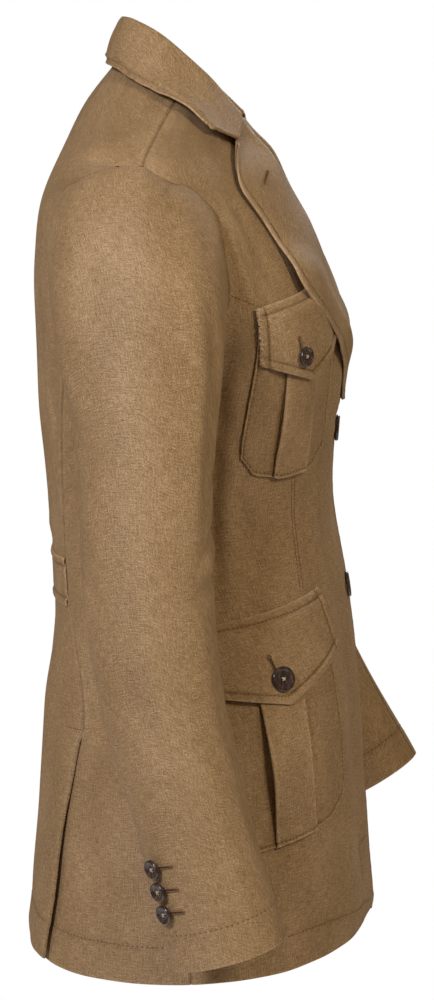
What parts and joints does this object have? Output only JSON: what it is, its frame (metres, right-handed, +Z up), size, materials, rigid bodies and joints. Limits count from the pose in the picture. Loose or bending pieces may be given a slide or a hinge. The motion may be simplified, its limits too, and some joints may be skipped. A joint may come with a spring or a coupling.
{
  "type": "safari jacket",
  "caption": "Unlined tan linen safari jacket in its worn shape with notched lapels, flap pockets with box pleats, a half belt and side-back vents.",
  "frame": {"origin": "on the centre line, level with the two neck points where the shoulder seams meet the neck seam, where the wearer's shoulders carry the jacket", "axes": "+Z up, -Y the way the front faces, +X towards the wearer's left"},
  "size_m": [0.5994, 0.3164, 0.7167],
  "materials": {
    "linen": "matte plain weave tan linen",
    "button": "polished dark brown horn-like resin"
  },
  "bodies": {
    "root": {"back": "linen", "front_left": "linen", "front_right": "linen", "side_panel_left": "linen", "side_panel_right": "linen", "lapel_left": "linen", "lapel_right": "linen", "collar": "linen", "upper_sleeve_left": "linen", "upper_sleeve_right": "linen", "under_sleeve_left": "linen", "under_sleeve_right": "linen", "chest_pocket_left": "linen", "chest_pocket_right": "linen", "chest_flap_left": "linen", "chest_flap_right": "linen", "hip_pocket_left": "linen", "hip_pocket_right": "linen", "hip_flap_left": "linen", "hip_flap_right": "linen", "half_belt": "linen", "closure_button_1": "button", "closure_button_2": "button", "chest_button_left": "button", "chest_button_right": "button", "hip_button_left": "button", "hip_button_right": "button", "cuff_button_left_1": "button", "cuff_button_left_2": "button", "cuff_button_left_3": "button", "cuff_button_right_1": "button", "cuff_button_right_2": "button", "cuff_button_right_3": "button"}
  },
  "joints": []
}
